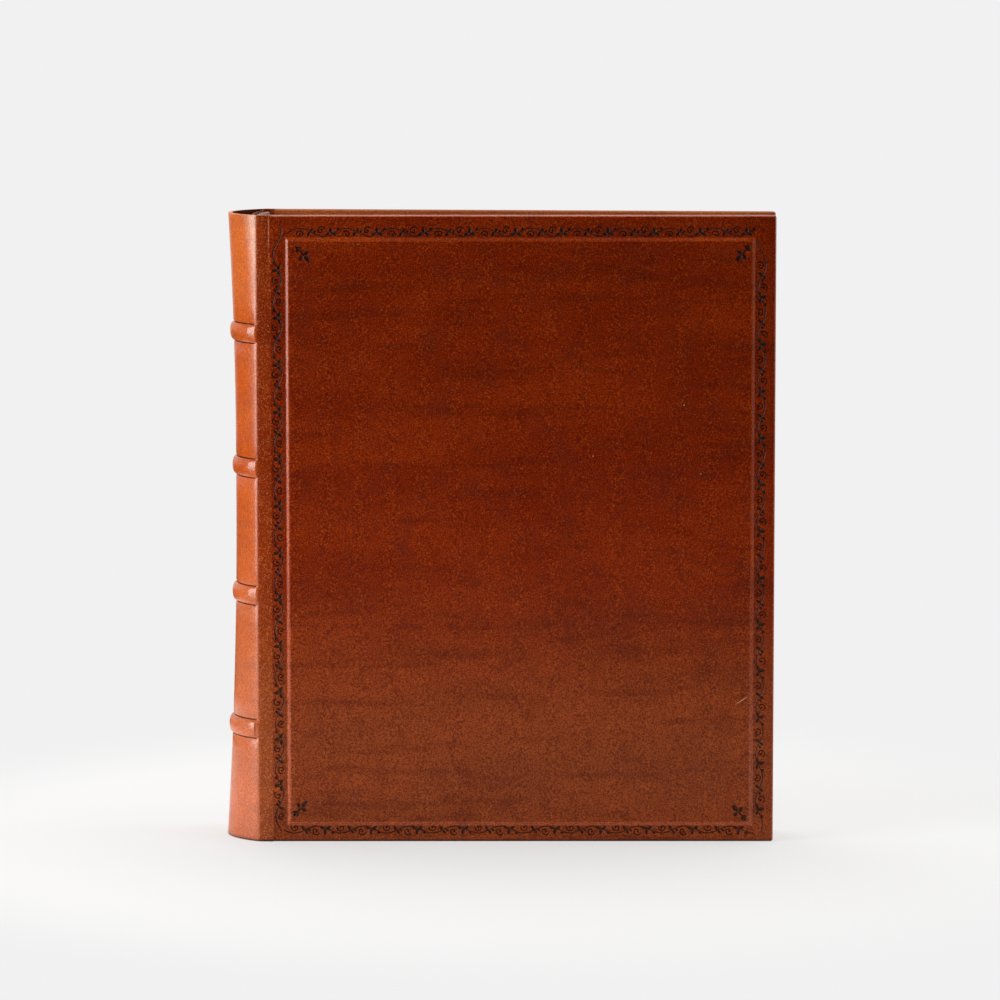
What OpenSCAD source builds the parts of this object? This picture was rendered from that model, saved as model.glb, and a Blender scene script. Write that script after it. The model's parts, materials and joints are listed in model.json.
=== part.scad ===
// Hand-bound book in full leather: hollow back, four raised bands, a raised panel on each cover and a
// tooled border around it. It stands on its tail, spine to -X and front cover to -Y.
// The origin is on the ground, under the middle of the book.

/* [Book] */
// Height of the covers, head to tail
book_h = 313; // [250:1:380]
// Width of one cover, from its hinge line to the fore-edge
cover_w = 251.2; // [190:0.1:300]
// Thickness over both covers at the spine
spine_t = 50; // [44:1:64]
// Thickness over both covers at the fore-edge
fore_t = 31; // [26:1:42]
// Margin by which the covers overhang the leaves
square = 4; // [3.2:0.1:8]

/* [Leather] */
// Thickness of the covering leather
leather_t = 1.2; // [0.8:0.1:1.6]
// Thickness of the leather pared thin for turning in
turn_in_t = 0.8; // [0.4:0.1:1.2]
// Width of the leather turned in over the inside of a cover
turn_in_w = 14; // [8:1:24]
// Depth of the leather turned in at the ends of the spine
spine_turn_in = 12; // [6:1:20]
// Radius on the edges of a covered board
edge_r = 1.2; // [0.6:0.1:1.8]

/* [Covers] */
// Thickness of a cover board
board_t = 3.4; // [2.4:0.1:4.5]
// Rise of the panel above the border around it
panel_rise = 1; // [0.5:0.1:1.6]
// Width of the slope around the panel
panel_slope = 1; // [0.5:0.1:2]
// Border between the hinge line and the panel
panel_hinge = 9; // [8.4:0.1:20]
// Border between the fore-edge and the panel
panel_fore = 10.2; // [9:0.1:24]
// Border between the head and the panel
panel_head = 10.9; // [9:0.1:24]
// Border between the tail and the panel
panel_tail = 8.2; // [7.8:0.1:24]

/* [Tooling] */
// Length of one wave of the tooled vine
vine_pitch = 23; // [16:1:32]
// Reach of the vine to either side of its middle line
vine_sway = 2.1; // [1.6:0.1:2.4]
// Width of a tooled line
line_w = 0.7; // [0.4:0.1:1]
// Depth of the tooling
tool_depth = 0.35; // [0.15:0.05:0.5]
// Radius of a rosette in a bend of the vine
rosette_r = 1.4; // [1:0.1:1.8]
// Length of a leaf in a corner fleuron
leaf_l = 5; // [3:0.5:8]
// Width of a leaf in a corner fleuron
leaf_w = 1.8; // [1:0.1:2.5]
// Distance of a fleuron from both edges of the panel
fleuron_in = 8; // [6:0.5:16]

/* [Spine] */
// Bulge of the spine beyond its folds at mid height
spine_bulge = 12.3; // [9:0.1:14]
// Further bulge at head and tail
spine_flare = 4.2; // [0:0.1:6]
// Flat strip between a spine fold and the hinge line
strip_w = 5.5; // [5:0.1:8]
// Length taken up by the rounding of a spine fold
fold_l = 1.5; // [1:0.1:2.4]
// Height of a raised band
band_w = 10; // [6:0.5:14]
// Rise of a raised band
band_rise = 1.7; // [0.8:0.1:2.4]
// Spacing of the two middle bands
band_gap_mid = 63.6; // [40:0.1:70]
// Spacing of an outer band from the next one
band_gap_end = 67; // [40:0.1:70]
// Drop of the bands below the middle of the spine
band_drop = 1; // [-10:0.5:10]
// Thickness of the card that stiffens the spine
card_t = 0.8; // [0.4:0.1:1.2]
// Thickness of the paper of the hollow tube
tube_t = 0.4; // [0.3:0.1:0.8]

/* [Leaves] */
// Rounding of the back of the leaves
back_round = 4; // [2:0.5:5]
// Hollow of the fore-edge of the leaves
fore_hollow = 1.5; // [0.5:0.1:3]
// Thickness of a flyleaf
flyleaf_t = 0.3; // [0.2:0.1:0.5]
// Width of a sewing tape
tape_w = 14; // [8:1:20]
// Thickness of a sewing tape
tape_t = 0.3; // [0.2:0.1:0.5]
// Spacing of the sewing tapes
tape_gap = 95; // [40:1:105]
// Thickness of the cloth on the back of the leaves
cloth_t = 0.35; // [0.2:0.05:0.5]
// Thickness of the thin leather that lines the back of the leaves
liner_t = 0.5; // [0.3:0.1:0.8]
// Margin of that leather from head and tail
liner_in = 0.8; // [0.4:0.1:3]
// Margin of the other linings from the ends of the leaves
lining_in = 12; // [6:1:24]
// Radius of the bead of a headband
bead_r = 1.4; // [0.8:0.1:1.5]

/* [Fits] */
// Gap from the hinge line to the leather on either side of it
joint_gap = 0.6; // [0.4:0.1:1]
// Distance of the hinge line in front of the leather
axis_out = 0.3; // [0.2:0.1:0.6]
// Gap from the hinge line to the shoulder of the leaves
shoulder_gap = 0.8; // [0.6:0.1:1.5]
// Gap between glued layers
glue = 0.05; // [0.02:0.01:0.1]
// Gap between a closed cover and the flyleaf
cover_gap = 0.3; // [0.2:0.1:1]
// Gap around a pastedown
paste_gap = 0.2; // [0.1:0.1:0.5]

/* [Hidden] */
$fn = 48;

half_t = spine_t / 2;
tilt = asin((spine_t - fore_t) / 2 / cover_w);
book_w = spine_bulge + spine_flare + strip_w + cover_w * cos(tilt);
fold_x = spine_bulge + spine_flare - book_w / 2;
hinge_x = fold_x + strip_w;
cover_t = leather_t + board_t + turn_in_t;
leaf_h = book_h - 2 * square;
leaf_w_total = cover_w - square;
past = 1;

// Rounded back of the leaves: an arc through both shoulders
shoulder_half = half_t - leather_t - cloth_t - 2 * glue;
shoulder_x = fold_x + 2;
back_r = (shoulder_half * shoulder_half + back_round * back_round) / (2 * back_round);
back_x = shoulder_x - back_round + back_r;
back_half = asin(shoulder_half / back_r);
tape_r = back_r + glue;
cloth_r = tape_r + tape_t + glue;
liner_r = cloth_r + cloth_t + glue;
tube_r = liner_r + liner_t + glue;
liner_share = 0.92;
tube_share = 0.75;
bead_share = 0.9;

band_mid = book_h / 2 - band_drop;
band_centres = [
    band_mid - band_gap_mid / 2 - band_gap_end,
    band_mid - band_gap_mid / 2,
    band_mid + band_gap_mid / 2,
    band_mid + band_gap_mid / 2 + band_gap_end
];
band_steps = [-1, -0.9, -0.6, 0, 0.6, 0.9, 1];
strip_steps = [-0.85, -0.6, 0, 0.6, 0.85];

leather_colour = "#7a3410";
spine_colour = "#a2481a";
board_colour = "#8c8577";
paper_colour = "#ece3cd";
cloth_colour = "#d8cfb8";
silk_colour = "#9a3324";

// Spine surface

// Points on the arc from a fold to the middle of the back
arc_parts = 7;
// Points on the rounding of a fold
fold_parts = 3;

function bulge_at(z) = spine_bulge + spine_flare * pow(2 * z / book_h - 1, 2);
function arc_r(z) = (half_t * half_t + pow(bulge_at(z), 2)) / (2 * bulge_at(z));
function arc_half(z) = asin(half_t / arc_r(z));
function arc_point(z, a) = [fold_x - bulge_at(z) + arc_r(z) * (1 - cos(a)), -arc_r(z) * sin(a)];
function unit(v) = v / norm(v);
function outward(v) = [-unit(v)[1], unit(v)[0]];
function bend(p, c, q, s) = (1 - s) * (1 - s) * p + 2 * s * (1 - s) * c + s * s * q;
function bend_way(p, c, q, s) = (1 - s) * (c - p) + s * (q - c);

// Each entry is a point of the outer face, its outward direction, and how far a band or a turn-in builds
// up there: none on the flat strip, all of it on the back
function half_line(z) =
    let (corner = [fold_x, -half_t],
         start = corner + [fold_l, 0],
         first = arc_half(z) - fold_l / arc_r(z) * 180 / PI,
         end = arc_point(z, first))
    concat(
        [[[hinge_x - joint_gap, -half_t], [0, -1], 0]],
        [for (i = [0:fold_parts - 1]) let (s = i / fold_parts)
            [bend(start, corner, end, s), outward(bend_way(start, corner, end, s)), 0.8 * s]],
        [for (i = [0:arc_parts - 1]) let (a = first * (1 - i / arc_parts))
            [arc_point(z, a), [-cos(a), -sin(a)], i == 0 ? 0.8 : 1]]);

function whole_line(z) =
    let (near = half_line(z))
    concat(near, [[[fold_x - bulge_at(z), 0], [-1, 0], 1]],
        [for (i = [len(near) - 1:-1:0]) let (p = near[i])
            [[p[0][0], -p[0][1]], [p[1][0], -p[1][1]], p[2]]]);

function step_in(d, rise) = rise * pow(max(0, 1 - d * d), 0.6);
function lift_at(z) = max([for (c = band_centres) step_in(min(1, abs(z - c) / (band_w / 2)), band_rise)]);

// One closed loop around a sheet at height z: its outer face, then its inner face on the way back
function sheet_loop(z, outer, inner, lift, extra, skip) =
    let (line = whole_line(z), n = len(line))
    concat(
        [for (i = [skip:n - 1 - skip]) let (p = line[i], at = p[0] + p[1] * (lift * p[2] - outer))
            [at[0], at[1], z]],
        [for (i = [n - 1 - skip:-1:skip])
            let (p = line[i], at = p[0] + p[1] * ((inner[1] ? lift : 0) * p[2] - inner[0] - extra * p[2]))
            [at[0], at[1], z]]);

module sheet_solid(loops) {
    n = len(loops[0]);
    rows = len(loops);
    sides = [for (r = [0:rows - 2], j = [0:n - 1])
        let (a = r * n + j, b = r * n + (j + 1) % n)
        each [[a, b + n, b], [a, a + n, b + n]]];
    foot = [for (j = [0:n / 2 - 2]) each [[j, j + 1, n - 2 - j], [j, n - 2 - j, n - 1 - j]]];
    top = [for (f = foot) [for (i = [2:-1:0]) f[i] + (rows - 1) * n]];
    polyhedron([for (loop = loops) each loop], concat(sides, foot, top), convexity = 6);
}

// Heights between a and b, with both ends left out
function between(a, b, parts) = [for (i = [1:parts - 1]) a + (b - a) * i / parts];

// Pieces on the back

module spine_leather() {
    turn = spine_turn_in;
    reach = band_w / 2;
    heights = concat(
        [0, edge_r / 2, turn, turn + 1],
        between(turn + 1, band_centres[0] - reach, 3),
        [for (i = [0:3]) each concat(
            [for (d = band_steps) band_centres[i] + d * reach],
            i < 3 ? between(band_centres[i] + reach, band_centres[i + 1] - reach, 4) : [])],
        between(band_centres[3] + reach, book_h - turn - 1, 3),
        [book_h - turn - 1, book_h - turn, book_h - edge_r / 2, book_h]);
    color(spine_colour) sheet_solid([for (z = heights)
        let (rim = z == 0 || z == book_h, folded = z <= turn || z >= book_h - turn)
        sheet_loop(z, rim ? edge_r / 3 : 0, [leather_t - (rim ? edge_r / 3 : 0), true], lift_at(z),
            folded ? turn_in_t : 0, 0)]);
}

module spine_card() {
    low = spine_turn_in + 2;
    outer = leather_t + glue;
    heights = concat([low], between(low, book_h - low, 10), [book_h - low]);
    color(board_colour) sheet_solid([for (z = heights)
        sheet_loop(z, outer, [outer + card_t, false], 0, 0, fold_parts + 1)]);
}

module raised_band(i) {
    color(board_colour) sheet_solid([for (d = strip_steps)
        let (z = band_centres[i] + d * band_w / 2)
        sheet_loop(z, leather_t + glue, [leather_t, false], lift_at(z), 0, fold_parts + 1)]);
}

// Outline of the hollow, from the spine card to the lined back of the leaves, drawn in by inset
module hollow_outline(inset) {
    z = book_h / 2;
    depth = leather_t + card_t + 2 * glue + inset;
    spine_side = [for (i = [-arc_parts:arc_parts])
        let (a = arc_half(z) * tube_share * i / arc_parts * (1 - inset / half_t), r = arc_r(z) - depth)
        [fold_x - bulge_at(z) + arc_r(z) - r * cos(a), r * sin(a)]];
    leaf_side = [for (i = [arc_parts:-1:-arc_parts])
        let (a = back_half * tube_share * i / arc_parts * (1 - inset / half_t), r = tube_r + inset)
        [back_x - r * cos(a), r * sin(a)]];
    polygon(concat(spine_side, leaf_side));
}

module hollow_tube() {
    color(cloth_colour) translate([0, 0, square + lining_in])
        linear_extrude(leaf_h - 2 * lining_in)
            difference() {
                hollow_outline(0);
                hollow_outline(tube_t);
            }
}

// A lining bent over the back of the leaves, reaching share of the way to both shoulders
module back_lining(r, t, low, high, share = 1) {
    reach = back_half * share;
    translate([back_x, 0, low])
        rotate_extrude(angle = 2 * reach, start = 180 - reach, $fn = 180)
            translate([r, 0]) square([t, high - low]);
}

module sewing_tape(i) {
    middle = book_h / 2 + (i - 1) * tape_gap;
    color(cloth_colour) back_lining(tape_r, tape_t, middle - tape_w / 2, middle + tape_w / 2);
}

module spine_cloth() {
    color(cloth_colour)
        back_lining(cloth_r, cloth_t, square + lining_in, book_h - square - lining_in);
}

module spine_liner() {
    color(leather_colour) back_lining(liner_r, liner_t, liner_in, book_h - liner_in, liner_share);
}

module end_bead(z) {
    reach = back_half * bead_share;
    color(silk_colour) translate([back_x, 0, z])
        rotate_extrude(angle = 2 * reach, start = 180 - reach, $fn = 180)
            translate([back_r - bead_r, 0]) circle(bead_r, $fn = 24);
}

module headband() { end_bead(book_h - square + glue + bead_r); }
module tailband() { end_bead(square - glue - bead_r); }

// Covers. A cover is drawn flat, with its hinge line on Z, its outer face at y = 0 and its inside to +Y,
// and is then turned to lean against the leaves.

module place_cover(back) {
    mirror([0, back ? 1 : 0, 0])
        translate([hinge_x, -half_t - axis_out, 0])
            rotate([0, 0, tilt])
                translate([0, axis_out, 0]) children();
}

board_end = cover_w - leather_t;
panel_w = cover_w - panel_hinge - panel_fore;
panel_h = book_h - panel_head - panel_tail;

module cover_board(back) {
    color(board_colour) place_cover(back)
        translate([joint_gap, leather_t, leather_t])
            cube([board_end - joint_gap, board_t, book_h - 2 * leather_t]);
}

module panel_card(back) {
    gap = panel_slope + leather_t;
    color(board_colour) place_cover(back)
        translate([panel_hinge + gap, leather_t - panel_rise, panel_tail + gap])
            cube([panel_w - 2 * gap, panel_rise - glue, panel_h - 2 * gap]);
}

module pastedown(back) {
    inset = turn_in_w + paste_gap;
    color(paper_colour) place_cover(back)
        translate([joint_gap, leather_t + board_t + glue, inset])
            cube([cover_w - inset - joint_gap, turn_in_t - glue, book_h - 2 * inset]);
}

// A bar of the cover's thickness whose two far edges are rounded
module rounded_bar(length) {
    square([length - edge_r, cover_t]);
    translate([length - edge_r, edge_r]) square([edge_r, cover_t - 2 * edge_r]);
    translate([length - edge_r, edge_r]) circle(edge_r);
    translate([length - edge_r, cover_t - edge_r]) circle(edge_r);
}

module covered_slab() {
    intersection() {
        translate([joint_gap, 0, 0]) linear_extrude(book_h) rounded_bar(cover_w - joint_gap);
        translate([0, 0, book_h / 2]) rotate([90, 0, 90]) linear_extrude(cover_w + past)
            union() {
                rotate(90) mirror([0, 1]) rounded_bar(book_h / 2);
                mirror([0, 1]) rotate(90) mirror([0, 1]) rounded_bar(book_h / 2);
            }
    }
}

module raised_panel() {
    hull() {
        translate([panel_hinge, 0, panel_tail]) cube([panel_w, leather_t / 2, panel_h]);
        translate([panel_hinge + panel_slope, -panel_rise, panel_tail + panel_slope])
            cube([panel_w - 2 * panel_slope, leather_t / 2, panel_h - 2 * panel_slope]);
    }
}

// Flat shapes are stamped into the face that lies at y = face
module stamp(face) {
    translate([0, face + tool_depth, 0]) rotate([90, 0, 0]) linear_extrude(tool_depth + past) children();
}

// One straight run of the tooled roll: a waving vine with a rosette in each bend
module vine(length) {
    waves = max(1, round(length / vine_pitch));
    pitch = length / waves;
    parts = 8 * waves;
    edge = [for (i = [0:parts]) [length * i / parts, vine_sway * sin(360 * i / 8)]];
    polygon(concat(
        [for (p = edge) p + [0, line_w / 2]],
        [for (i = [parts:-1:0]) edge[i] - [0, line_w / 2]]));
    for (i = [0:2 * waves - 1])
        translate([pitch * (i + 0.5) / 2, (i % 2 == 0 ? 1 : -1) * (vine_sway - line_w - 2 * rosette_r)])
            rosette();
}

module rosette() {
    difference() {
        circle(rosette_r, $fn = 16);
        circle(rosette_r - line_w, $fn = 16);
    }
}

module leaf() {
    r = (leaf_l * leaf_l + leaf_w * leaf_w) / (4 * leaf_w);
    intersection() {
        translate([leaf_l / 2, r - leaf_w / 2]) circle(r);
        translate([leaf_l / 2, leaf_w / 2 - r]) circle(r);
    }
}

module fleuron() {
    for (a = [-55, 0, 55]) rotate(a) translate([0.5, 0]) leaf();
    rotate(180) translate([0.5, 0]) leaf();
}

module border() {
    hinge_line = panel_hinge - vine_sway - line_w - 0.6;
    fore_line = cover_w - panel_fore + vine_sway + line_w + 0.6;
    tail_line = panel_tail - vine_sway - line_w - 0.4;
    head_line = book_h - panel_head + vine_sway + line_w + 0.4;
    clear = vine_sway + line_w;
    across = fore_line - hinge_line - 2 * clear;
    up = head_line - tail_line - 2 * clear;
    for (z = [tail_line, head_line]) translate([hinge_line + clear, z]) vine(across);
    for (x = [hinge_line, fore_line]) translate([x, tail_line + clear]) rotate(90) vine(up);
    for (x = [hinge_line, fore_line], z = [tail_line, head_line]) translate([x, z]) rosette();
}

module cover_leather(back) {
    low = panel_tail + fleuron_in;
    high = book_h - panel_head - fleuron_in;
    left = panel_hinge + fleuron_in;
    right = cover_w - panel_fore - fleuron_in;
    card_gap = panel_slope + leather_t - glue;
    color(leather_colour) place_cover(back) difference() {
        union() {
            covered_slab();
            raised_panel();
        }
        translate([-past, leather_t - glue, leather_t - glue])
            cube([board_end + past + glue, board_t + 2 * glue, book_h - 2 * leather_t + 2 * glue]);
        translate([panel_hinge + card_gap, leather_t - panel_rise - glue, panel_tail + card_gap])
            cube([panel_w - 2 * card_gap, panel_rise + glue, panel_h - 2 * card_gap]);
        translate([-past, cover_t - turn_in_t - glue, turn_in_w])
            cube([cover_w - turn_in_w + past, turn_in_t + past, book_h - 2 * turn_in_w]);
        stamp(0) border();
        stamp(-panel_rise) {
            translate([left, low]) rotate(45) fleuron();
            translate([right, low]) rotate(135) fleuron();
            translate([right, high]) rotate(225) fleuron();
            translate([left, high]) rotate(315) fleuron();
        }
    }
}

// Leaves

leaf_face = cover_t + cover_gap + flyleaf_t + glue;

module flyleaf(back) {
    color(paper_colour) place_cover(back)
        translate([glue, cover_t + cover_gap, square])
            cube([leaf_w_total - glue, flyleaf_t, leaf_h]);
}

module text_block() {
    fore_x = hinge_x + leaf_w_total * cos(tilt);
    fore_half = half_t - leaf_w_total * sin(tilt) - leaf_face;
    hollow_r = (fore_half * fore_half + fore_hollow * fore_hollow) / (2 * fore_hollow);
    color(paper_colour) difference() {
        intersection() {
            translate([shoulder_x - back_round - past, -shoulder_half, square])
                cube([fore_x - shoulder_x + back_round + past, 2 * shoulder_half, leaf_h]);
            union() {
                translate([back_x, 0, 0]) cylinder(h = book_h, r = back_r, $fn = 180);
                translate([back_x, -half_t, 0]) cube([book_w, spine_t, book_h]);
            }
        }
        for (back = [false, true]) place_cover(back)
            translate([-shoulder_gap, -half_t, -past])
                cube([cover_w * 2, half_t + leaf_face, book_h + 2 * past]);
        translate([fore_x - fore_hollow + hollow_r, 0, -past])
            cylinder(h = book_h + 2 * past, r = hollow_r, $fn = 180);
    }
}

text_block();
flyleaf(false);  // front_flyleaf
flyleaf(true);  // back_flyleaf
headband();
tailband();
sewing_tape(0);  // sewing_tape_1
sewing_tape(1);  // sewing_tape_2
sewing_tape(2);  // sewing_tape_3
spine_cloth();
spine_liner();
hollow_tube();
spine_card();
raised_band(0);  // raised_band_1
raised_band(1);  // raised_band_2
raised_band(2);  // raised_band_3
raised_band(3);  // raised_band_4
spine_leather();
cover_board(false);  // front_board
panel_card(false);  // front_panel_card
cover_leather(false);  // front_leather
pastedown(false);  // front_pastedown
cover_board(true);  // back_board
panel_card(true);  // back_panel_card
cover_leather(true);  // back_leather
pastedown(true);  // back_pastedown
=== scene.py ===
# %% [markdown]
# # A large book bound in full calf
#
# A hand-bound book stands on its tail, spine to the left, front cover towards us. Its chestnut calf covers
# two boards and a hollow back with four raised bands. Each board has a raised panel, a rolled border of
# scrolls around it, and a small leaf ornament in each corner of the panel.
#
# The imported CAD model is loaded first and stays as it is. What is seen from outside is then modelled anew
# around it, in metres, and the CAD solids that new pieces stand for are hidden.

import json
import random
from math import asin, cos, degrees, pi, radians, sin, sqrt, tan

import bmesh
import bpy
from mathutils import Matrix, Vector

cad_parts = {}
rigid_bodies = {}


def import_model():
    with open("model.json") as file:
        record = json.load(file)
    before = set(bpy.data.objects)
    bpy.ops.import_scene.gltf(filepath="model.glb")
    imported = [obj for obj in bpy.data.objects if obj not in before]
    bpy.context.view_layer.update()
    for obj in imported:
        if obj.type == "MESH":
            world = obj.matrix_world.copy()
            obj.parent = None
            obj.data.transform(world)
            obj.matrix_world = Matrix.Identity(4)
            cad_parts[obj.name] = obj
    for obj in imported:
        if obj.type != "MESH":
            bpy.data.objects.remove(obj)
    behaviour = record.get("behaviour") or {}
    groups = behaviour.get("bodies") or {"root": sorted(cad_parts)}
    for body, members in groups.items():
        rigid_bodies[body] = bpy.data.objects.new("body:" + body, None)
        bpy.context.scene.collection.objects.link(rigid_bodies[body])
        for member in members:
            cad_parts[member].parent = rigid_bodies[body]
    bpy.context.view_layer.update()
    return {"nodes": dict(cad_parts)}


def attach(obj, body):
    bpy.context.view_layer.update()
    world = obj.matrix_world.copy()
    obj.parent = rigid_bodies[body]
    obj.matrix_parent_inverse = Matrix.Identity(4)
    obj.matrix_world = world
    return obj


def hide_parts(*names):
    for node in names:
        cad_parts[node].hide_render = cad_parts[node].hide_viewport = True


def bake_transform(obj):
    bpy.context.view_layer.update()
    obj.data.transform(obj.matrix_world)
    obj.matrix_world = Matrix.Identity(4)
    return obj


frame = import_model()

# %% [markdown]
# ## The measures of the book
#
# Binders measure in millimetres, and Blender's unit here is the metre, so each length is written in
# millimetres and turned by one function. The numbers are those of the CAD source, because a new piece has to
# sit on what carries it. Two points closer than a micrometre, the value called near, count as one.

# %% Measures
def mm(*lengths):
    """Millimetres to metres: one number, or several as a vector."""
    return lengths[0] * 0.001 if len(lengths) == 1 else Vector(lengths) * 0.001


book_h = mm(313)
cover_w = mm(251.2)
spine_t = mm(50)
fore_t = mm(31)
leather_t = mm(1.2)
turn_in_t = mm(0.8)
board_t = mm(3.4)
spine_bulge = mm(12.3)
spine_flare = mm(4.2)
strip_w = mm(5.5)
axis_out = mm(0.3)
edge_r = mm(1.2)
near = 1e-6

tilt = asin((spine_t - fore_t) / 2 / cover_w)
half_t = spine_t / 2
cover_t = leather_t + board_t + turn_in_t
fold_x = spine_bulge + spine_flare - (spine_bulge + spine_flare + strip_w + cover_w * cos(tilt)) / 2
hinge_x = fold_x + strip_w
print(f"hinge lines at x = {hinge_x:.5f} m, covers lean {degrees(tilt):.2f} degrees")

# %% [markdown]
# ## The camera
#
# The book was photographed from far away with a long lens, a little from above. The front cover shows no
# narrowing towards either side, so the camera looks square at it, from slightly right of the middle.

# %% Camera
camera_data = bpy.data.cameras.new("camera")
camera_data.sensor_width = 36
camera_data.lens = 190.76
camera = bpy.data.objects.new("camera", camera_data)
bpy.context.scene.collection.objects.link(camera)
bpy.context.scene.camera = camera
camera_yaw, camera_pitch = radians(-2.08), radians(6.98)
camera.location = mm(94.94, -2625, 490.9)
camera.rotation_euler = (pi / 2 - camera_pitch, 0, -camera_yaw)
camera_data.clip_start, camera_data.clip_end = 0.1, 60
bpy.context.scene.view_settings.view_transform = "Standard"

# %% [markdown]
# ## Light and floor
#
# One large soft lamp stands at the left and in front. The spine faces it and the front cover gets it at a
# slant, as in the photograph, and its edge draws the bright line along the fold. A lamp above and behind
# lights the table and the top edges. The camera sees a white backdrop all round. Reflections find white
# behind the book, above it and at its right, and a dark room elsewhere.

# %% Helpers that add shader nodes
def add_node(tree, kind, inputs=None, **settings):
    """Adds a node with its settings. A socket gets a value, a link, or a colour as an sRGB hex code."""
    made = tree.nodes.new(kind)
    for name, value in settings.items():
        setattr(made, name, value)
    for socket, value in (inputs or {}).items():
        if isinstance(value, bpy.types.NodeSocket):
            tree.links.new(value, made.inputs[socket])
        else:
            made.inputs[socket].default_value = colour(value) if isinstance(value, str) else value
    return made


def colour(code):
    """An sRGB hex colour as linear red, green, blue and alpha."""
    parts = [int(code[i:i + 2], 16) / 255 for i in (1, 3, 5)]
    return [p / 12.92 if p <= 0.04045 else ((p + 0.055) / 1.055) ** 2.4 for p in parts] + [1]


def calculate(tree, operation, first, second=0.0):
    """One step of arithmetic."""
    return add_node(tree, "ShaderNodeMath", {0: first, 1: second}, operation=operation).outputs[0]


def along(tree, at, direction):
    """How far a point lies along a direction."""
    product = add_node(tree, "ShaderNodeVectorMath", {0: at, 1: direction}, operation="DOT_PRODUCT")
    return product.outputs["Value"]


def spread(tree, value, low, high, to_low=0.0, to_high=1.0):
    """Stretches the part of value between low and high to the range given."""
    return add_node(tree, "ShaderNodeMapRange", {0: value, 1: low, 2: high, 3: to_low, 4: to_high},
                    interpolation_type="SMOOTHSTEP").outputs[0]


def blend_colour(tree, share, first, second):
    """Mixes two colours; share, first and second may be links."""
    return add_node(tree, "ShaderNodeMix", {0: share, 6: first, 7: second}, data_type="RGBA").outputs[2]


def finish(name, build):
    """A material whose nodes are made by build(tree, coordinates), which returns its shader node."""
    made = bpy.data.materials.new(name)
    made.use_nodes = True
    tree = made.node_tree
    tree.nodes.clear()
    at = add_node(tree, "ShaderNodeTexCoord").outputs["Object"]
    shader = build(tree, at)
    add_node(tree, "ShaderNodeOutputMaterial", {0: shader.outputs[0]})
    return made


# %% World
paper_white = 0.88


def background_share(tree, behind):
    """Where the white background shows: everywhere to the camera, and behind the book to reflections."""
    path = add_node(tree, "ShaderNodeLightPath")
    mirrored = calculate(tree, "MAXIMUM", path.outputs["Is Glossy Ray"], path.outputs["Is Transmission Ray"])
    mirrored = calculate(tree, "MULTIPLY", mirrored, behind)
    return calculate(tree, "MAXIMUM", path.outputs["Is Camera Ray"], mirrored)


world = bpy.data.worlds.new("studio")
bpy.context.scene.world = world
world.use_nodes = True
tree = world.node_tree
tree.nodes.clear()
where = add_node(tree, "ShaderNodeTexCoord").outputs["Generated"]
room = spread(tree, along(tree, where, (0, 1, 0)), -0.3, 0.8, 0.03, 0.62)
behind = spread(tree, along(tree, where, (0.8, 0.65, 0.5)), 0.1, 0.6)
strength = add_node(tree, "ShaderNodeMix", {0: background_share(tree, behind), 2: room, 3: paper_white})
sky = add_node(tree, "ShaderNodeBackground", {0: (1, 1, 1, 1), 1: strength.outputs[0]})
add_node(tree, "ShaderNodeOutputWorld", {0: sky.outputs[0]})

# %% Lamps
def soft_lamp(name, place, aim, size, power):
    """A rectangular lamp that faces the point aim."""
    data = bpy.data.lights.new(name, "AREA")
    data.shape, data.size, data.size_y, data.energy = "RECTANGLE", *size, power
    lamp = bpy.data.objects.new(name, data)
    bpy.context.scene.collection.objects.link(lamp)
    lamp.location = place
    lamp.rotation_euler = (Vector(aim) - Vector(place)).to_track_quat("-Z", "Y").to_euler()


soft_lamp("window_left", (-1.19, -0.60, 0.42), (-0.1, 0, 0.15), (0.7, 0.85), 16)
soft_lamp("fill_right", (1.7, 0.06, 0.5), (0.1, 0, 0.16), (0.8, 0.9), 8)
soft_lamp("top_back", (0.1, 0.22, 1.7), (0.05, 0.1, 0), (1.8, 1.0), 24)

# %% Floor
bpy.ops.object.select_all(action="DESELECT")
bpy.ops.mesh.primitive_circle_add(vertices=96, radius=6, fill_type="NGON", location=(0, 0, 0))
floor = bpy.context.object
floor.name = "floor"


def floor_paint(tree, at):
    """White paint around the book that takes its shadow, and the backdrop's own white further out."""
    reach = add_node(tree, "ShaderNodeVectorMath", {0: at}, operation="LENGTH").outputs["Value"]
    behind = add_node(tree, "ShaderNodeMapRange", {0: along(tree, at, (0.8, 0.65, 0)), 1: 0.1, 2: 0.5})
    glow_share = spread(tree, reach, 0.24, 0.37, 0.6, 1)
    white = blend_colour(tree, spread(tree, reach, 0.36, 0.56, 1, 0), (0.02, 0.02, 0.02, 1), "#f2f1f0")
    shown = calculate(tree, "MULTIPLY", glow_share, background_share(tree, behind.outputs[0]))
    paint = add_node(tree, "ShaderNodeBsdfDiffuse", {0: white})
    glow = add_node(tree, "ShaderNodeEmission", {0: (1, 1, 1, 1), 1: paper_white})
    return add_node(tree, "ShaderNodeMixShader", {0: shown, 1: paint.outputs[0], 2: glow.outputs[0]})


floor.data.materials.append(finish("white_studio_floor", floor_paint))
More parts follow.
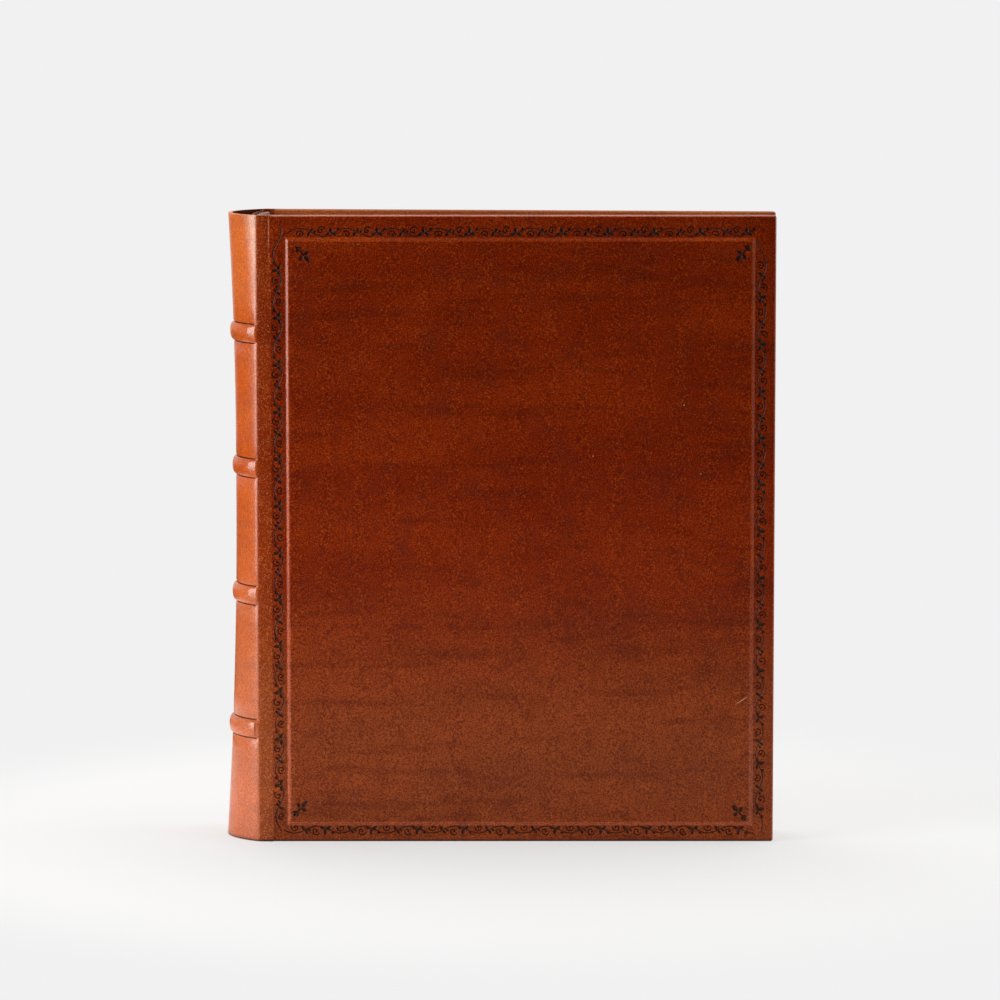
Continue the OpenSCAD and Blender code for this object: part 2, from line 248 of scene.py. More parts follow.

# %% [markdown]
# ## Finishes: the calf
#
# Vegetable-tanned calf is dyed by hand with a sponge, so its chestnut is cloudy, and the dye pools a little
# in streaks. Its grain is fine, about a millimetre, and the binder burnishes it with a hot iron, which leaves
# a soft gloss. Both come from noise in real sizes on the book's own coordinates: clouds about 26 mm high and
# wider than that, blots of 13 mm, streaks 6 mm high, and grain and fibre of 1.1 and 0.6 mm, as colour and as
# bump. The lower part is painted paler, a painted light for the light that the white floor throws up, and
# the last millimetre above the tail is painted dark, a painted shadow where the book meets the floor.
#
# One dye gives several looks. The spine's curve is paler and more orange, partly its fade and partly painted
# light where the lamp falls on it; it is painted paler at the head and by the fold there as a painted
# highlight, and towards the tail as painted light from the floor. The strip at the joint stayed dark. The
# edges are worn smooth and lighter, partly as a painted highlight, and the turned-in flaps were never
# burnished and are painted paler, partly as painted light. The flesh side inside the hollow back is dull and
# painted dark as painted shade, and the hot brass of the tools scorches the calf; the same dark finish lies
# in the creases beside the bands as painted shade.

# %% Calf
def noise_of(tree, at, size, detail=2.0, stretch=(1, 1, 1), roughness=0.5):
    """Noise whose blobs are about size wide, in metres, and stretched along the axes."""
    scaled = add_node(tree, "ShaderNodeMapping", {0: at, 3: [1 / s for s in stretch]}).outputs[0]
    return add_node(tree, "ShaderNodeTexNoise", {"Vector": scaled, "Scale": 1 / size, "Detail": detail,
                                                 "Roughness": roughness}).outputs[0]


def lay_over(tree, shade, other, pattern, low, high, share=1.0):
    """Lays another colour over shade where pattern goes from low to high, up to a share."""
    return blend_colour(tree, spread(tree, pattern, low, high, 0, share), shade, other)


def surface(tree, shade, roughness, height, strength, depth, others):
    """The shader of a surface with a colour, a roughness and a relief; others are more of its sockets."""
    relief = add_node(tree, "ShaderNodeBump", {"Strength": strength, "Distance": depth, "Height": height})
    return add_node(tree, "ShaderNodeBsdfPrincipled",
                    {"Base Color": shade, "Roughness": roughness, "Normal": relief.outputs[0], **others})


def calf(light, mid, dark, roughness, bump, level=0.2, faded_and_painted_light=None, pale="#c8641c", fleck=0.45, painted_floor_light=0.25):
    """Burnished vegetable-tanned calf in three shades of one dye, and maybe two paler ones on the spine.

    pale is the colour of the bare fibre in the grain, and fleck how much of it shows. The two paler spine
    shades are partly the spine's fade and partly painted light where the lamp falls on it, and are painted
    paler towards the tail as painted light and at the head as a painted highlight. The last argument sets how
    much paler the lower part is painted, a painted light for the light from the floor."""
    def build(tree, at):
        place = add_node(tree, "ShaderNodeSeparateXYZ", {0: at})
        x, z = place.outputs[0], place.outputs[2]
        clouds = noise_of(tree, at, mm(26), 3.0, (2.6, 2.6, 1))
        blots = noise_of(tree, at, mm(13), 5.0, roughness=0.68)
        streaks = noise_of(tree, at, mm(6), 3.0, (9, 9, 1))
        grain = noise_of(tree, at, mm(1.1), 2.0)
        fibre = noise_of(tree, at, mm(0.6), 1.0)
        patch = spread(tree, clouds, 0.36, 0.64)
        shade = blend_colour(tree, patch, mid, light)
        # Painted light: paler towards the tail, for the light that the white floor throws up.
        shade = lay_over(tree, shade, "#b8763a", z, mm(150), mm(45), painted_floor_light)
        # Painted light on the spine's curve: paler shades, partly its fade and partly the lamp's light on it.
        if faded_and_painted_light:
            bare = blend_colour(tree, patch, faded_and_painted_light[1], faded_and_painted_light[0])
            # Painted light: paler towards the tail, for the light from the white floor.
            bare = lay_over(tree, bare, "#bf8264", z, mm(190), mm(70), 0.3)
            # Painted highlight: paler orange towards the head.
            bare = lay_over(tree, bare, "#f5822e", z, mm(235), mm(300), 0.4)
            # Painted highlight: a pale patch by the fold at the head, fading downwards and away from the
            # fold.
            slant = 0.13
            corner = fold_x + slant * book_h
            towards = along(tree, at, (-1, 0, -slant))
            bare = lay_over(tree, bare, "#f7ac80", towards, mm(8.5) - corner, mm(1) - corner, 0.7)
            shade = lay_over(tree, shade, bare, x, fold_x + mm(0.7), fold_x - mm(0.7))
        deeper = blend_colour(tree, 0.55, shade, dark) if faded_and_painted_light else dark
        for pattern, low, high, share in ((streaks, 0.5, 0.75, 0.4), (blots, 0.5, 0.75, 0.45),
                                          (grain, 0.42, 0.68, 0.5), (fibre, 0.48, 0.64, 0.7)):
            shade = lay_over(tree, shade, deeper, pattern, low, high, share)
        shade = lay_over(tree, shade, pale, fibre, 0.44, 0.28, fleck)
        # Painted shadow: the last 1.6 mm above the tail darken where the book meets the floor.
        shade = lay_over(tree, shade, "#240c04", z, mm(1.6), mm(0.3), 0.85)
        height = add_node(tree, "ShaderNodeMix", {0: 0.35, 2: grain, 3: fibre}).outputs[0]
        gloss = spread(tree, blots, 0.3, 0.75, roughness - 0.04, roughness + 0.08)
        return surface(tree, shade, gloss, height, bump, mm(0.1), {"IOR": 1.45, "Specular IOR Level": level})
    return build


calf_burnished = finish("calf_vegetable_tanned_burnished", calf("#9c2f02", "#8a2300", "#521101", 0.36, 0.3))
# Lighter edges: partly wear, partly a painted highlight on the rounded edges and the panel's slopes.
calf_edges_worn_and_painted_highlight = finish("calf_edges_worn_with_painted_highlight",
                    calf("#c44a0c", "#b03a06", "#701e04", 0.27, 0.2, 0.5, pale="#d47838"))
# The spine's curve gets the paler shades, partly its fade and partly painted light.
calf_spine, calf_joint = [
    finish("calf_vegetable_tanned_" + place,
           calf("#a63a08", "#922b04", "#591602", 0.3, 0.35, level, ("#de6216", "#cc5410"), "#d88a50", 0.6))
    for place, level in (("faded_and_painted_light_on_spine", 0.7), ("at_joint", 0.25))]
# Paler turned-in flaps: partly unburnished calf, partly painted light from above.
calf_turned_in_with_painted_light = finish("calf_turned_in_unburnished_with_painted_light", calf("#b4652f", "#a35524", "#7a3812", 0.5, 0.4, 0.2))
# Painted shade: the flesh side inside the hollow is painted dark for the shade in there.
calf_hollow_painted_shade = finish("calf_flesh_side_with_painted_shade",
                     calf("#5c220c", "#4c1808", "#2a0c04", 0.7, 0.4, 0.1, fleck=0.15))
# Scorched by the tools, and also laid in the creases beside the bands as painted shade.
calf_scorched_and_painted_crease_shade = finish("calf_scorched_by_brass_and_painted_crease_shade", calf("#4a1c08", "#391204", "#1e0802", 0.4, 0.4, 0.22,
                                                        pale="#6e2e0e", fleck=0.3, painted_floor_light=0.06))
calf_scuffed = finish("calf_scuffed_pale", calf("#e6c4a0", "#d8ac80", "#b47c4c", 0.6, 0.4))

# %% [markdown]
# ## Helpers for modelling
#
# An operator works on what is selected, so a step first picks vertices, edges or faces by where they are or
# which way they face.

# %% Helpers
def work_on(piece):
    """Makes piece the only selected object."""
    if bpy.context.object and bpy.context.object.mode != "OBJECT":
        bpy.ops.object.mode_set(mode="OBJECT")
    bpy.ops.object.select_all(action="DESELECT")
    piece.select_set(True)
    bpy.context.view_layer.objects.active = piece


def edit(piece):
    """Opens piece in edit mode, with all of it selected."""
    work_on(piece)
    bpy.ops.object.mode_set(mode="EDIT")
    bpy.ops.mesh.select_all(action="SELECT")


def close():
    """Leaves edit mode."""
    bpy.ops.object.mode_set(mode="OBJECT")


def pick(kind, test):
    """Selects the vertices, edges or faces that test says yes to, and nothing else.

    For a vertex, test gets its place. For an edge, its two ends. For a face, its middle and its normal."""
    bpy.ops.mesh.select_mode(type=kind)
    bpy.ops.mesh.select_all(action="DESELECT")
    mesh = bpy.context.edit_object.data
    net = bmesh.from_edit_mesh(mesh)
    if kind == "VERT":
        found = [v for v in net.verts if test(v.co)]
    elif kind == "EDGE":
        found = [e for e in net.edges if test(e.verts[0].co, e.verts[1].co)]
    else:
        found = [f for f in net.faces if test(f.calc_center_median(), f.normal)]
    for part in found:
        part.select_set(True)
    net.select_flush_mode()
    bmesh.update_edit_mesh(mesh, loop_triangles=False, destructive=False)


def shift(test, step):
    """Moves the points that test says yes to by a step."""
    pick("VERT", test)
    bpy.ops.transform.translate(value=step)


def stretch(test, factors, centre):
    """Scales the points that test says yes to about a centre."""
    pick("VERT", test)
    bpy.ops.transform.resize(value=factors, center_override=centre)


def face_outwards():
    """Turns all faces of the open mesh outwards."""
    bpy.ops.mesh.select_all(action="SELECT")
    bpy.ops.mesh.normals_make_consistent(inside=False)


def close_ends():
    """Fills the holes of the open mesh and turns its faces outwards."""
    bpy.ops.mesh.select_all(action="SELECT")
    bpy.ops.mesh.fill_holes(sides=0)
    face_outwards()


def dress(piece, slot, test):
    """Gives the faces that test says yes to the finish in a material slot."""
    pick("FACE", test)
    piece.active_material_index = slot
    bpy.ops.object.material_slot_assign()


def cut_at(place, normal, **options):
    """Cuts the whole open mesh with a plane."""
    bpy.ops.mesh.select_all(action="SELECT")
    bpy.ops.mesh.bisect(plane_co=place, plane_no=normal, threshold=1e-7, **options)


def apply_all(piece):
    """Applies every modifier and the object's own place, turn and size."""
    work_on(piece)
    for modifier in list(piece.modifiers):
        bpy.ops.object.modifier_apply(modifier=modifier.name)
    bpy.ops.object.transform_apply(location=True, rotation=True, scale=True)


def smooth(piece, degrees):
    """Shades piece smooth, except at edges sharper than degrees."""
    work_on(piece)
    bpy.ops.object.shade_smooth_by_angle(angle=radians(degrees))


def repeat(piece, count, step):
    """Makes a row of count copies of piece, each a step further on."""
    row = piece.modifiers.new("row", "ARRAY")
    row.count = count
    row.use_relative_offset, row.use_constant_offset = False, True
    row.constant_offset_displace = step
    apply_all(piece)


def join(pieces, name):
    """Joins pieces into one object called name."""
    work_on(pieces[0])
    for piece in pieces:
        piece.select_set(True)
    if len(pieces) > 1:
        bpy.ops.object.join()
    pieces[0].name = pieces[0].data.name = name
    return pieces[0]


def copy_of(piece):
    """A copy of piece in the same place."""
    work_on(piece)
    bpy.ops.object.duplicate()
    return bpy.context.object


def shape(add, apply=True, **options):
    """Adds a basic shape by one of Blender's operators and applies its place, turn and size."""
    bpy.ops.object.select_all(action="DESELECT")
    add(**options)
    if apply:
        bpy.ops.object.transform_apply(location=True, rotation=True, scale=True)
    return bpy.context.object


def block(name, low, high):
    """A box between two corners, given in millimetres."""
    low, high = mm(*low), mm(*high)
    made = shape(bpy.ops.mesh.primitive_cube_add, size=1, location=(low + high) / 2, scale=high - low)
    made.name = name
    return made


def carve(piece, cutter, overlapping=False):
    """Takes cutter away from piece; the new faces keep cutter's finish."""
    modifier = piece.modifiers.new("carve", "BOOLEAN")
    modifier.operation, modifier.solver, modifier.object = "DIFFERENCE", "EXACT", cutter
    modifier.use_self = overlapping
    modifier.material_mode = "TRANSFER"
    work_on(piece)
    bpy.ops.object.modifier_apply(modifier="carve")
    bpy.data.objects.remove(cutter)


def measure(piece):
    """Triangles, open edges and volume of a piece, to print."""
    net = bmesh.new()
    net.from_mesh(piece.data)
    bare = sum(1 for e in net.edges if not e.is_manifold)
    volume = net.calc_volume(signed=True) * 1e6
    net.free()
    piece.data.calc_loop_triangles()
    return f"{piece.name}: {len(piece.data.loop_triangles)} triangles, {bare} open edges, {volume:.2f} cm3"


def hand_over(piece, body, node):
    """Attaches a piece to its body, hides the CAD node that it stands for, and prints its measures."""
    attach(piece, body)
    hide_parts(node)
    print(measure(piece))


def bend(piece):
    """Applies a piece's place to its mesh and prints its measures; it is attached to no body."""
    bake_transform(piece)
    print(measure(piece))


# %% [markdown]
# ## The leather over the back
#
# One skin of leather runs from one joint around the hollow back to the other. It starts as a tube on its end.
# The tube is cut at the plane of the folds, its two open edges are extruded into the flat strips beside the
# spine, and the folds are rounded. Cuts at many heights then give rings that can be pushed out one by one:
# towards head and tail for the flare, and at the four bands.

# %% Measures of the back
strip_end = mm(1.78)
back_radius = (half_t ** 2 + spine_bulge ** 2) / (2 * spine_bulge)
back_centre = fold_x - spine_bulge + back_radius
flare_tail, flare_head = mm(5.3), mm(3.2)
tail_flare_top, head_flare_foot = mm(165), mm(195)
band_w, band_rise, band_nip = mm(9), mm(1.8), mm(0.32)
band_heights = [mm(v) for v in (56.7, 123.7, 187.3, 254.3)]
ring_steps = [0, 0.3, 0.55, 0.75, 0.87, 0.95, 1, 1.05, 1.12, 1.2, 1.3]


def flare_at(z):
    """How far the back stands out at a height. It spreads more towards the tail than towards the head."""
    tail = max(0, 1 - z / tail_flare_top)
    head = max(0, z - head_flare_foot) / (book_h - head_flare_foot)
    return spine_bulge + flare_tail * tail ** 2 + flare_head * head ** 2


def band_lift(z):
    """The rise of a band, and the nip beside it where the cord pressed the damp leather down."""
    d = min(abs(z - c) for c in band_heights) / (band_w / 2)
    return band_rise * sqrt(max(0, 1 - d * d)) - band_nip * max(0, 1 - ((d - 1.06) / 0.22) ** 2)


band_rings = sorted({round(c + side * d * band_w / 2, 7)
                     for c in band_heights for d in ring_steps for side in (-1, 1)})
plain_rings = [mm(v) for v in (4, 8, 12, 12.4, 23, 34, 45, 71, 83, 95, 107, 138, 147, 156, 165, 173, 201, 212,
                               222, 232, 241, 267, 275, 283, 290, 296, 300.6, 301, 304, 307, 310)]
rings = sorted(band_rings + plain_rings)
print(len(rings), "rings on the back")

# %% Tube, strips and folds
back = shape(bpy.ops.mesh.primitive_cylinder_add, vertices=150, radius=back_radius, depth=book_h,
             end_fill_type="NOTHING", location=(back_centre, 0, book_h / 2), rotation=(0, 0, pi / 2))
edit(back)
cut_at((fold_x, 0, 0), (1, 0, 0), clear_outer=True)


def upright(a, b):
    """Whether an edge stands upright."""
    return abs(a.x - b.x) < near and abs(a.y - b.y) < near


def at_fold(a, b):
    """Whether an edge lies on a fold."""
    return abs(a.x - fold_x) < near and abs(b.x - fold_x) < near


fold_r = mm(1.5)
pick("EDGE", lambda a, b: upright(a, b) and fold_x - fold_r - mm(0.4) < a.x < fold_x - near)
bpy.ops.mesh.dissolve_edges()
strip_lines = [mm(v) for v in (2.0, 2.6, 3.1, 3.6, 4.0, 4.3, 4.6, 4.9, 5.2, 5.5, 5.8, 6.2, 6.6, 7.0)]
strip_lines.append(strip_w + strip_end)
for side in (-1, 1):
    pick("EDGE", lambda a, b: at_fold(a, b) and a.y * side > 0)
    for before, after in zip([0] + strip_lines, strip_lines):
        bpy.ops.mesh.extrude_region_move(TRANSFORM_OT_translate={"value": (after - before, 0, 0)})
pick("EDGE", at_fold)
bpy.ops.mesh.bevel(offset=fold_r, segments=5, profile=0.5, affect="EDGES", clamp_overlap=True)
for z in rings:
    cut_at((0, 0, z), (0, 0, 1))
close()
print("back skin:", len(back.data.vertices), "points")

# %% Flare and bands
def on_ring(v, z):
    """Whether a point lies on the ring at height z."""
    return abs(v.z - z) < 2 * near


past_fold = fold_x + mm(0.4)
parts_of_ring = ((-1, fold_x - mm(3), 1), (fold_x - mm(3), fold_x - mm(1.3), 0.85),
                 (fold_x - mm(1.3), past_fold, 0.45))
strip_share = 0.16
edit(back)
for z in [0] + rings + [book_h]:
    bulge = flare_at(z)
    stretch(lambda v: on_ring(v, z) and v.x < fold_x, (bulge / spine_bulge, 1, 1), (fold_x, 0, z))
    lift = band_lift(z)
    if abs(lift) > 1e-7:
        radius = (half_t ** 2 + bulge ** 2) / (2 * bulge)
        for low, high, share in parts_of_ring:
            grow = 1 + share * lift / radius
            stretch(lambda v: on_ring(v, z) and low <= v.x < high,
                    (grow, grow, 1), (fold_x - bulge + radius, 0, z))
        for side in (-1, 1):
            shift(lambda v: on_ring(v, z) and v.x >= past_fold and v.y * side > 0,
                  (0, side * lift * strip_share, 0))
close()

# %% [markdown]
# A band doesn't stop at the fold. The leather runs down over its end and dies away on the flat strip, just
# past the joint. Each upright line of the strip is drawn back towards the flat by its share. Past the hinge
# the strip leans with the cover, and at the head it sinks into the joint, where the cap was set.

# %% Band ends and the sunk joint at the head
def on_line(v, x, side):
    """Whether a point lies on the upright line of the strip at x past the fold."""
    return abs(v.x - fold_x - x) < mm(0.04) and v.y * side > 0


fade_start, fade_end = mm(1.2), strip_w + strip_end - mm(0.2)
edit(back)
for x in strip_lines:
    keep = 0.5 + 0.5 * cos(pi * min(1, (x - fade_start) / (fade_end - fade_start)))
    for side in (-1, 1):
        stretch(lambda v: on_line(v, x, side), (1, keep, 1), (0, side * half_t, 0))
for x in strip_lines:
    if x > strip_w + near:
        for side in (-1, 1):
            shift(lambda v: on_line(v, x, side), (0, -side * (x - strip_w) * tan(tilt), 0))
sunk_depth = {4.3: 0.06, 4.6: 0.1, 4.9: 0.15, 5.2: 0.2, 5.5: 0.25, 5.8: 0.29, 6.2: 0.33}
sunk_share = {313: 0.8, 310: 1, 307: 1, 304: 1, 301: 0.95, 300.6: 0.95, 296: 0.8, 290: 0.5, 283: 0.25,
              275: 0.1}
for z, share in sunk_share.items():
    for x, depth in sunk_depth.items():
        for side in (-1, 1):
            shift(lambda v: on_ring(v, mm(z)) and on_line(v, mm(x), side), (0, -side * mm(depth) * share, 0))
close()

# %% [markdown]
# Solidify gives the skin its thickness towards the hollow. At head and tail the leather is turned in over
# 12 mm and lies double there, so a vertex group makes those rings thicker. The rim is then rounded. The
# creases beside the bands get the dark finish as painted shade, the strips the joint's, and the inside that
# of the flesh side, painted dark as painted shade.

# %% Thickness and rim
double_h = mm(12.1)
double = back.vertex_groups.new(name="double")
single_share = leather_t / (leather_t + turn_in_t)
for point in back.data.vertices:
    turned = point.co.z < double_h or point.co.z > book_h - double_h
    on_back = point.co.x < fold_x + mm(0.5)
    double.add([point.index], 1 if turned and on_back else single_share, "REPLACE")
wall = back.modifiers.new("wall", "SOLIDIFY")
wall.thickness = leather_t + turn_in_t
wall.vertex_group = "double"
wall.offset = -1
wall.use_even_offset = False
edit(back)
bpy.ops.mesh.remove_doubles(threshold=1e-7)
face_outwards()
net = bmesh.from_edit_mesh(back.data)
outwards = sum(f.normal.x for f in net.faces if f.calc_center_median().x < fold_x - mm(8))
if outwards > 0:
    bpy.ops.mesh.flip_normals()
close()
apply_all(back)
edit(back)
for level, way in ((0, -1), (book_h, 1)):
    stretch(lambda v: abs(v.z - level) < mm(0.3), (1, 1, 0), (0, 0, level))
    pick("FACE", lambda c, n: abs(c.z - level) < mm(0.05) and n.z * way > 0.8)
    bpy.ops.mesh.region_to_loop()
    net = bmesh.from_edit_mesh(back.data)
    for e in net.edges:
        if all(v.co.x > hinge_x + strip_end - mm(0.05) for v in e.verts):
            e.select_set(False)
    bmesh.update_edit_mesh(back.data, loop_triangles=False, destructive=False)
    bpy.ops.mesh.bevel(offset=mm(0.45), segments=3, profile=0.5, affect="EDGES", clamp_overlap=True)
close()
for material in (calf_spine, calf_scorched_and_painted_crease_shade, calf_hollow_painted_shade, calf_joint):
    back.data.materials.append(material)
edit(back)
# Painted shade: the creases beside the bands get the dark scorched finish.
dress(back, 1, lambda c, n: c.x < fold_x - mm(0.5) and n.x < -0.2
      and any(0.98 < abs(c.z - h) / (band_w / 2) < 1.13 for h in band_heights))
dress(back, 3, lambda c, n: c.x > fold_x + mm(0.2))
# Painted shade: the inside of the hollow back gets the dark flesh-side finish.
dress(back, 2, lambda c, n: c.x < fold_x - mm(0.3)
      and n.dot((Vector((fold_x + mm(10), 0, c.z)) - c).normalized()) > 0.3)
close()
print(measure(back))

# %% [markdown]
# The strip at each joint bends when its cover opens, and the rest of the skin doesn't. So the two joints are
# separated into their own pieces, cut along a straight line on the flat strip, and the cut ends are closed.

# %% Separate the joints
seam_x = fold_x + mm(3.1)


def part_off(source, name, test):
    """Separates the faces that test picks from source into a piece called name."""
    edit(source)
    pick("FACE", test)
    before = set(bpy.data.objects)
    bpy.ops.mesh.separate(type="SELECTED")
    close()
    made = (set(bpy.data.objects) - before).pop()
    made.name = made.data.name = name
    return made


front_joint = part_off(back, "front_joint_calf", lambda c, n: c.x > seam_x + near and c.y < 0)
back_joint = part_off(back, "back_joint_calf", lambda c, n: c.x > seam_x + near and c.y > 0)
back.name = back.data.name = "spine_calf"
for piece in (back, front_joint, back_joint):
    edit(piece)
    close_ends()
    close()
    smooth(piece, 40)
hand_over(back, "book_block", "spine_leather")
bend(front_joint)
bend(back_joint)

# %% [markdown]
# ## The leather over a cover
#
# A cover is modelled flat, with its hinge line on Z and its outer face at y = 0, and is put in its place at
# the end. It starts as a block of the cover's size. The outline of the panel is cut into its face, and an
# inset raises it with a slope all round. The rounded faces and slopes get the lighter edge finish, worn and
# partly a painted highlight, and those on the inside the paler finish of the turned-in flaps, partly painted
# light.

# %% Cover block, panel and edges
panel = {"left": mm(9), "right": cover_w - mm(10.2), "low": mm(8.2), "high": book_h - mm(10.9)}
panel_rise, panel_slope = mm(1), mm(1.6)
front_skin = block("front_cover_calf", (0.6, 0, 0), (251.2, 5.4, 313))
edit(front_skin)
for x in (panel["left"], panel["right"]):
    cut_at((x, 0, 0), (1, 0, 0))
for z in (panel["low"], panel["high"]):
    cut_at((0, 0, z), (0, 0, 1))


def in_panel(p):
    """Whether a point lies in the panel's outline or on it."""
    return (panel["left"] - near <= p.x <= panel["right"] + near
            and panel["low"] - near <= p.z <= panel["high"] + near)


pick("FACE", lambda c, n: n.y < -0.9 and in_panel(c))
bpy.ops.mesh.inset(thickness=panel_slope, depth=panel_rise)
pick("EDGE", lambda a, b: max(a.y, b.y) < -panel_rise + near)
bpy.ops.mesh.bevel(offset=mm(0.65), segments=4, profile=0.5, affect="EDGES")
pick("EDGE", lambda a, b: abs(a.y) < near and abs(b.y) < near and in_panel(a) and in_panel(b))
bpy.ops.mesh.bevel(offset=mm(0.4), segments=2, profile=0.5, affect="EDGES")


def on_outside(v):
    """The planes of the block's outside, other than the joint side, that v lies in."""
    tests = (v.x - cover_w, v.y, v.y - cover_t, v.z, v.z - book_h)
    return {i for i, far_off in enumerate(tests) if abs(far_off) < near}


pick("EDGE", lambda a, b: len(on_outside(a) & on_outside(b)) >= 2)
bpy.ops.mesh.bevel(offset=edge_r, segments=5, profile=0.5, affect="EDGES")
close()
for material in (calf_burnished, calf_edges_worn_and_painted_highlight, calf_turned_in_with_painted_light):
    front_skin.data.materials.append(material)
edit(front_skin)
straight = 0.985
# Worn edges and painted highlight: the rounded edges and the panel's slopes get the lighter edge finish.
dress(front_skin, 1, lambda c, n: max(abs(n.x), abs(n.y), abs(n.z)) < straight)
# Partly painted light: the inside faces get the paler turned-in finish.
dress(front_skin, 2, lambda c, n: n.y > straight or c.y > mm(3))
close()

# %% [markdown]
# The leather is hollow: the board lies in a pocket, the thin card under the panel in a second one, and the
# inside is open within the turned-in border. At the joint the skin of the back lies over it in a rebate. The
# turned-in flaps meet at the corners in a mitre, which is a fine groove here.

# %% Pocket, window and mitres
hollow = [
    block("board_pocket", (-1, 1.15, 1.15), (250.05, 4.65, 311.85)),
    block("card_pocket", (11.15, 0.15, 10.35), (238.85, 1.4, 299.95)),
    block("window", (-2, 4.5, 14), (237.2, 7, 299)),
    block("rebate", (-3, -1, -1), (1.8, 1.2, 314)),
]
for cutter in hollow:
    cutter.data.materials.append(calf_burnished)
    carve(front_skin, cutter)
for z, turn in ((6.8, 135), (306.2, 45)):
    mitre = shape(bpy.ops.mesh.primitive_cylinder_add, vertices=4, radius=mm(0.34), depth=mm(26),
                  location=mm(244.4, 5.42, z), rotation=(0, radians(turn), 0))
    mitre.data.materials.append(calf_scorched_and_painted_crease_shade)
    carve(front_skin, mitre)
print(measure(front_skin))

# %% [markdown]
# ## The tooling
#
# The border is rolled with a hot brass wheel: a vine that waves, a spiral in each bend, a three-lobed leaf on
# one slope and small strokes on the other. One repeat of the spirals and leaves is modelled as cutters, from
# short spins and small spheres, and copied along each border. The vine is one long bar, cut into rings that
# are shifted by the wave. The cutters are then taken away from the cover, and the faces that they leave
# are darker, because the hot tool scorches the calf.

# %% Parts of the roll
groove = mm(0.36)


def lobe(u, v, length, width, turn):
    """A leaf lobe: a small sphere drawn out to length and width, turned in the cover's face."""
    return shape(bpy.ops.mesh.primitive_uv_sphere_add, apply=False, segments=10, ring_count=6, radius=1,
                 location=mm(u, -0.12, v), rotation=(0, -radians(turn), 0),
                 scale=mm(length / 2, 0.55, width / 2))


def spiral(u, v, radius, start, way):
    """A spiral of three half turns, each spun about its own centre, with a dot in the middle."""
    direction = Vector((cos(radians(start)), 0, sin(radians(start))))
    centre, reach = mm(u, 0, v), mm(radius)
    made = shape(bpy.ops.mesh.primitive_circle_add, vertices=6, radius=groove, fill_type="NOTHING",
                 location=centre + direction * reach, rotation=(0, -radians(start), 0))
    edit(made)
    for steps in (8, 6):
        bpy.ops.mesh.spin(steps=steps, angle=pi, center=centre, axis=(0, -way, 0))
        direction = -direction
        smaller = reach * 0.62
        centre = centre + direction * (reach - smaller)
        reach = smaller
    close_ends()
    close()
    return made


def vine(length, pitch, start, sway):
    """A bar along X from start, waved with its crest at x = 0."""
    bar = shape(bpy.ops.mesh.primitive_cylinder_add, apply=False, vertices=4, radius=groove, depth=length,
                location=(start + length / 2, 0, 0), rotation=(0, pi / 2, 0))
    bar.scale.y = 0.62
    bpy.ops.object.transform_apply(location=True, rotation=True, scale=True)
    edit(bar)
    parts = max(2, round(length / pitch * 16))
    stations = [start + length * i / parts for i in range(parts + 1)]
    for x in stations[1:-1]:
        cut_at((x, 0, 0), (1, 0, 0))
    for x in stations:
        shift(lambda v: abs(v.x - x) < near, (0, 0, sway * cos(2 * pi * x / pitch)))
    close()
    return bar


def repeat_of_roll(pitch):
    """Spirals, leaf and strokes of one repeat, with the vine's crest at its start."""
    k = pitch / mm(23.3)
    curls = [spiral(0, -1.0, 1.6, 200, 1), lobe(0, -1.0, 1.0, 1.0, 0),
             spiral(11.0 * k, 1.05, 1.65, 20, -1), lobe(11.0 * k, 1.05, 1.0, 1.0, 0)]
    strokes = [lobe(u * k, *numbers) for u, *numbers in (
        (15.7, 1.0, 3.4, 1.9, 98), (14.2, -0.9, 2.9, 1.7, 200), (17.5, -0.9, 2.9, 1.7, -28),
        (19.4, 1.7, 2.0, 1.2, 20), (4.4, -0.8, 3.1, 1.5, 58), (6.0, 1.2, 2.5, 1.3, 48),
        (7.6, 0.3, 1.9, 1.1, 35))]
    return join(curls + strokes, "repeat_of_roll")


# %% One border line
def border_line(corner, turn, mirrored, pitch, start, end, sway):
    """A run of the roll. corner is where a crest of the vine is, in cover coordinates (x, z), millimetres.

    start and end are measured from it along the run. Returns the vine and the ornaments as two cutters."""
    stem = vine(mm(end - start), mm(pitch), mm(start), mm(sway))
    first = int((start - 3) // pitch) + 1
    last = int((end - 18.5) // pitch)
    unit = repeat_of_roll(mm(pitch))
    unit.location.x = mm(first * pitch)
    apply_all(unit)
    repeat(unit, last - first + 1, mm(pitch, 0, 0))
    print("border line:", last - first + 1, "repeats")
    for cutter in (stem, unit):
        if mirrored:
            cutter.scale.z = -1
            apply_all(cutter)
            edit(cutter)
            face_outwards()
            close()
        cutter.rotation_euler = (0, -radians(turn), 0)
        cutter.location = mm(corner[0], 0, corner[1])
        apply_all(cutter)
    return stem, unit


lines = [
    border_line((16.4, 304.7), 0, False, 22.75, -8.5, 224.5, 2.0),
    border_line((12.5, 6.1), 0, True, 22.9, -5.5, 229, 1.8),
    border_line((5.2, 36.0), 90, False, 23.4, -30.5, 272.5, 2.1),
    border_line((244.2, 288.4), -90, False, 23.3, -12, 283, 1.85),
]

# %% [markdown]
# A fleuron sits in each corner of the panel: a leaf that points into the panel between two curled ones, on a
# stem with a small foot. The scuffs, the scratch and the dark crease that the photo shows are cut in the same
# way, very shallow. In the scuffs and the scratch the pale fibre of the calf shows.

